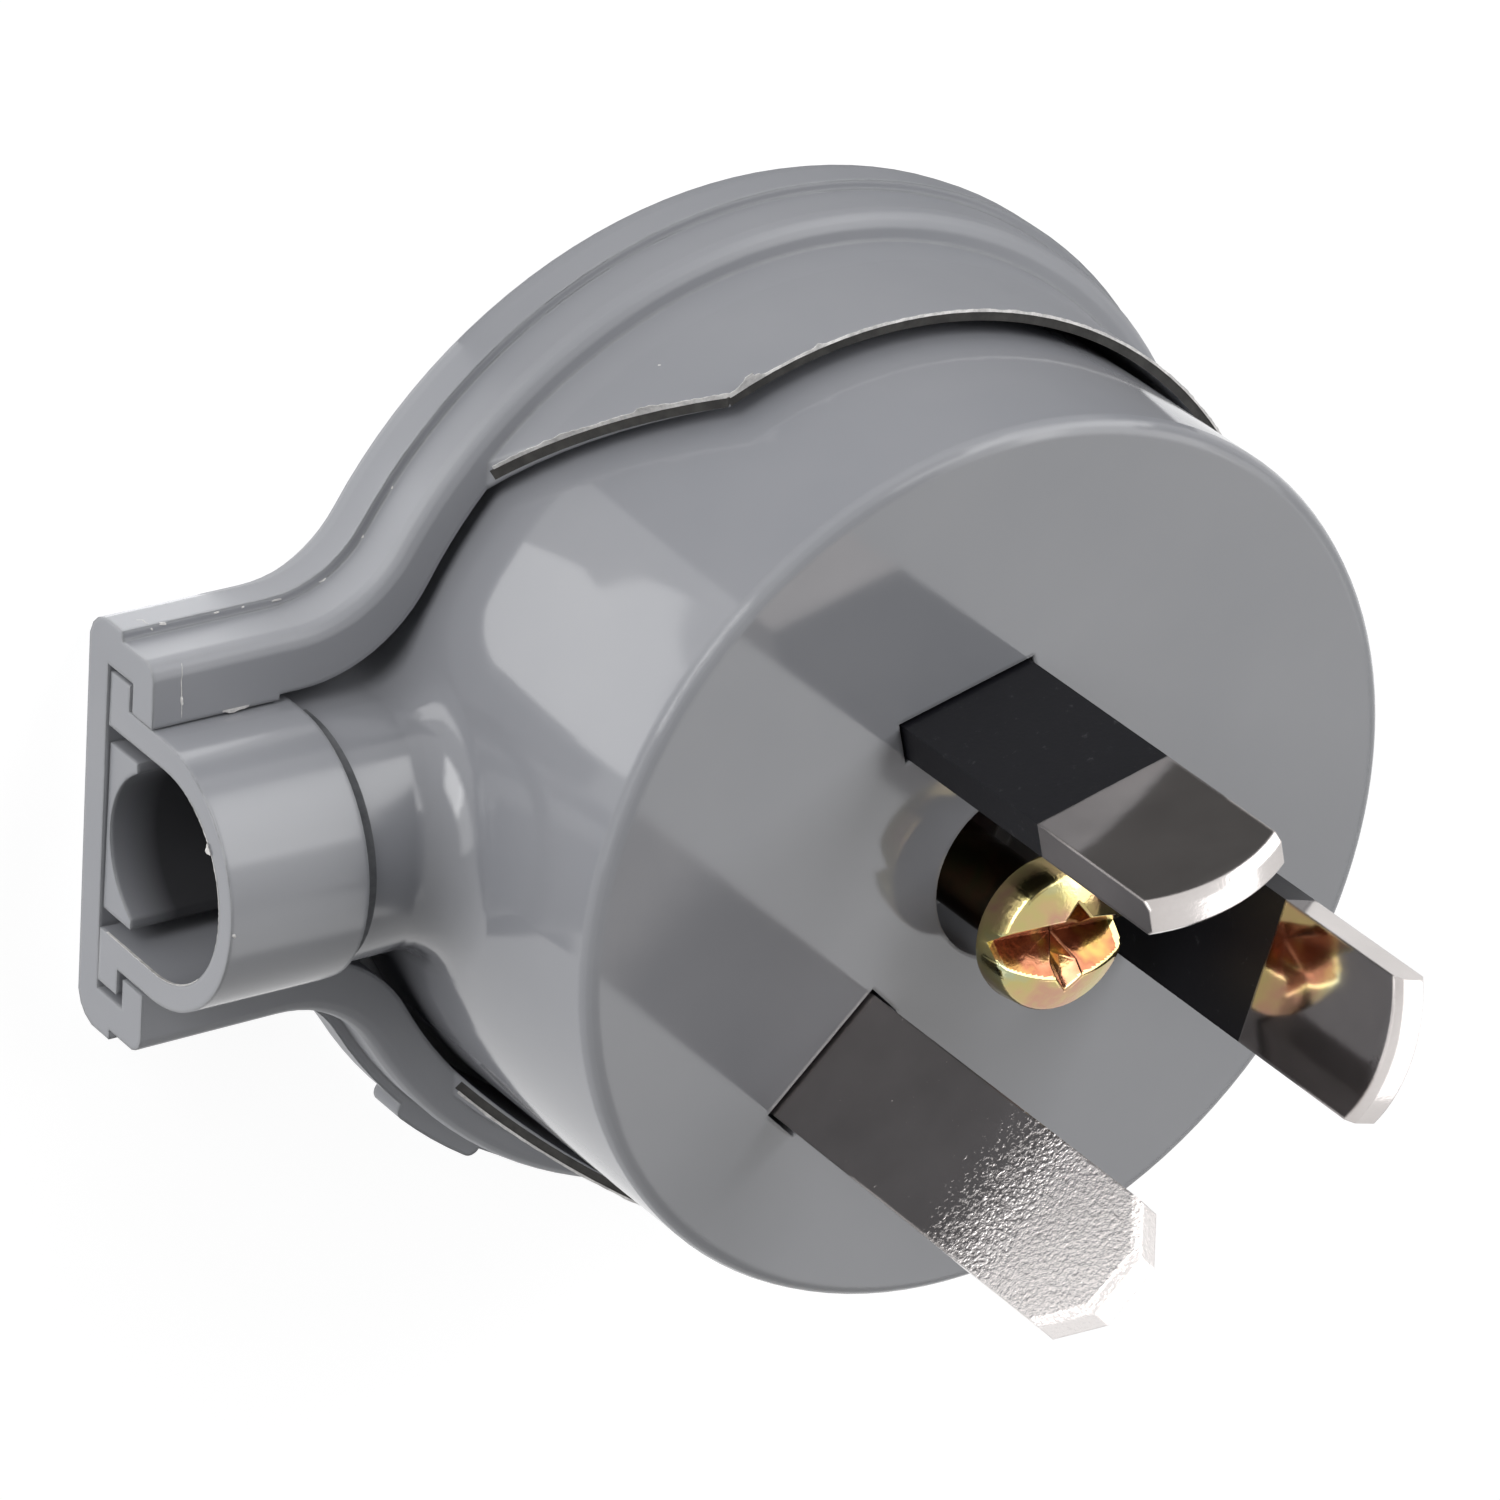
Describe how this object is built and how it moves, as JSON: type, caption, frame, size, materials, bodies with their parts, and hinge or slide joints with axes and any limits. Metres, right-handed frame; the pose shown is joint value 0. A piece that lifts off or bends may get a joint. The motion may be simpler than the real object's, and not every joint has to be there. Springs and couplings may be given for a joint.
{
  "type": "side entry plug top",
  "caption": "Round rewireable mains plug with flat pins, a hooked and skirted rear cover, a side cord neck and its cover screw backed out.",
  "frame": {"origin": "centre of the pin pattern, on the back face of the cover", "axes": "+Z along the pins, +X along the cord neck outwards, +Y to the side of the earth pin"},
  "size_m": [0.0533, 0.0456, 0.0406],
  "materials": {
    "grey_plastic": "semi-gloss moulded",
    "sleeve_black": "satin moulded",
    "nickel_plate": "bright nickel plated brass",
    "brass": "machined",
    "yellow_zinc": "yellow passivated zinc on steel",
    "red_fibre": "pressed fibre"
  },
  "bodies": {
    "root": {"body": "grey_plastic", "rear_cover": "grey_plastic", "cord_grip_saddle": "grey_plastic", "active_pin": "nickel_plate", "neutral_pin": "nickel_plate", "earth_pin": "nickel_plate", "active_pin_sleeve": "sleeve_black", "neutral_pin_sleeve": "sleeve_black", "active_terminal": "brass", "neutral_terminal": "brass", "earth_terminal": "brass", "active_terminal_screw": "nickel_plate", "neutral_terminal_screw": "nickel_plate", "earth_terminal_screw": "nickel_plate", "cover_insert": "brass", "cover_screw": "yellow_zinc", "screw_retaining_washer": "red_fibre"}
  },
  "joints": []
}
